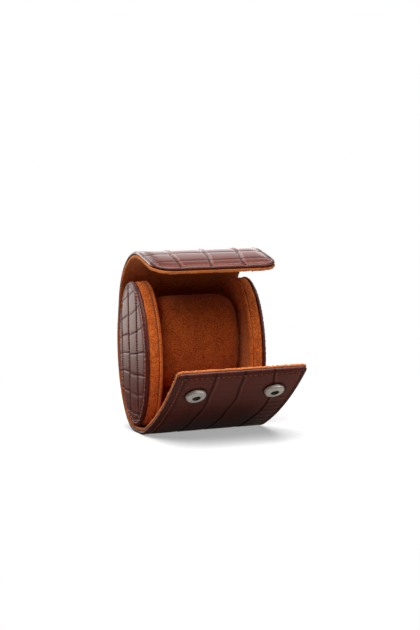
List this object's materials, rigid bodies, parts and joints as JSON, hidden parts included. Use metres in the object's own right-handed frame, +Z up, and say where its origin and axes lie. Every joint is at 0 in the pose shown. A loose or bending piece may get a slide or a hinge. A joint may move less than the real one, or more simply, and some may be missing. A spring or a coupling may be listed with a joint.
{
  "type": "watch travel case",
  "caption": "Roll-shaped leather travel case for one watch, with oval padded drums, two flaps closed by press studs, and a removable pillow.",
  "frame": {"origin": "centre of the flat that the case stands on, midway between the two side panels", "axes": "+X along the case from the left to the right side panel, -Y towards the open front, +Z up"},
  "size_m": [0.0824, 0.1314, 0.1174],
  "materials": {
    "brown_leather": "glossy embossed leather",
    "tan_suede": "soft suede",
    "board": "plain stiffener board",
    "foam": "soft foam padding",
    "nickel": "polished nickel"
  },
  "bodies": {
    "case": {"shell_leather": "brown_leather", "shell_board": "board", "shell_lining": "tan_suede", "left_panel_leather": "brown_leather", "left_panel_board": "board", "left_drum_wall": "tan_suede", "left_drum_core": "foam", "left_drum_face": "tan_suede", "right_panel_leather": "brown_leather", "right_panel_board": "board", "right_drum_wall": "tan_suede", "right_drum_core": "foam", "right_drum_face": "tan_suede"},
    "top_a": {"top_leather_a": "brown_leather", "top_lining_a": "tan_suede"},
    "top_b": {"top_leather_b": "brown_leather", "top_lining_b": "tan_suede"},
    "top_c": {"top_leather_c": "brown_leather", "top_lining_c": "tan_suede", "snap_studs": "nickel", "stud_rivets": "nickel"},
    "low_a": {"low_leather_a": "brown_leather", "low_lining_a": "tan_suede"},
    "low_b": {"low_leather_b": "brown_leather", "low_lining_b": "tan_suede"},
    "low_c": {"low_leather_c": "brown_leather", "low_lining_c": "tan_suede", "snap_sockets": "nickel", "socket_springs": "nickel", "socket_rivets": "nickel"},
    "pillow": {"pillow_cover": "tan_suede", "pillow_core": "foam"}
  },
  "joints": [
    {"name": "top_flap", "type": "hinge", "parent": "case", "child": "top_a", "pos_m": [0, 0.03135, 0.08596], "axis": [1, 0, 0], "range_deg": [-12, 18]},
    {"name": "top_flap_middle", "type": "hinge", "parent": "top_a", "child": "top_b", "pos_m": [0, 0.01513, 0.10796], "axis": [1, 0, 0], "range_deg": [-4, 6]},
    {"name": "top_flap_front", "type": "hinge", "parent": "top_b", "child": "top_c", "pos_m": [0, -0.01964, 0.11437], "axis": [1, 0, 0], "range_deg": [-21.08, 31.61]},
    {"name": "low_flap", "type": "hinge", "parent": "case", "child": "low_a", "pos_m": [0, -0.006, 0.0018], "axis": [-1, 0, 0], "range_deg": [-6, 34]},
    {"name": "low_flap_middle", "type": "hinge", "parent": "low_a", "child": "low_b", "pos_m": [0, -0.03464, 0.01059], "axis": [-1, 0, 0], "range_deg": [-3.36, 19.01]},
    {"name": "low_flap_front", "type": "hinge", "parent": "low_b", "child": "low_c", "pos_m": [0, -0.06328, 0.02642], "axis": [-1, 0, 0], "range_deg": [-3.19, 18.01]},
    {"name": "pillow_out", "type": "slide", "parent": "case", "child": "pillow", "axis": [0, -0.9734, 0.2292], "range_m": [0, 0.12]}
  ],
  "couplings": [
    {"joint": "top_flap_middle", "follows": "top_flap", "ratio": 0.33333},
    {"joint": "top_flap_front", "follows": "top_flap", "ratio": 1.7556},
    {"joint": "low_flap_middle", "follows": "low_flap", "ratio": 0.55882},
    {"joint": "low_flap_front", "follows": "low_flap", "ratio": 0.52941}
  ]
}
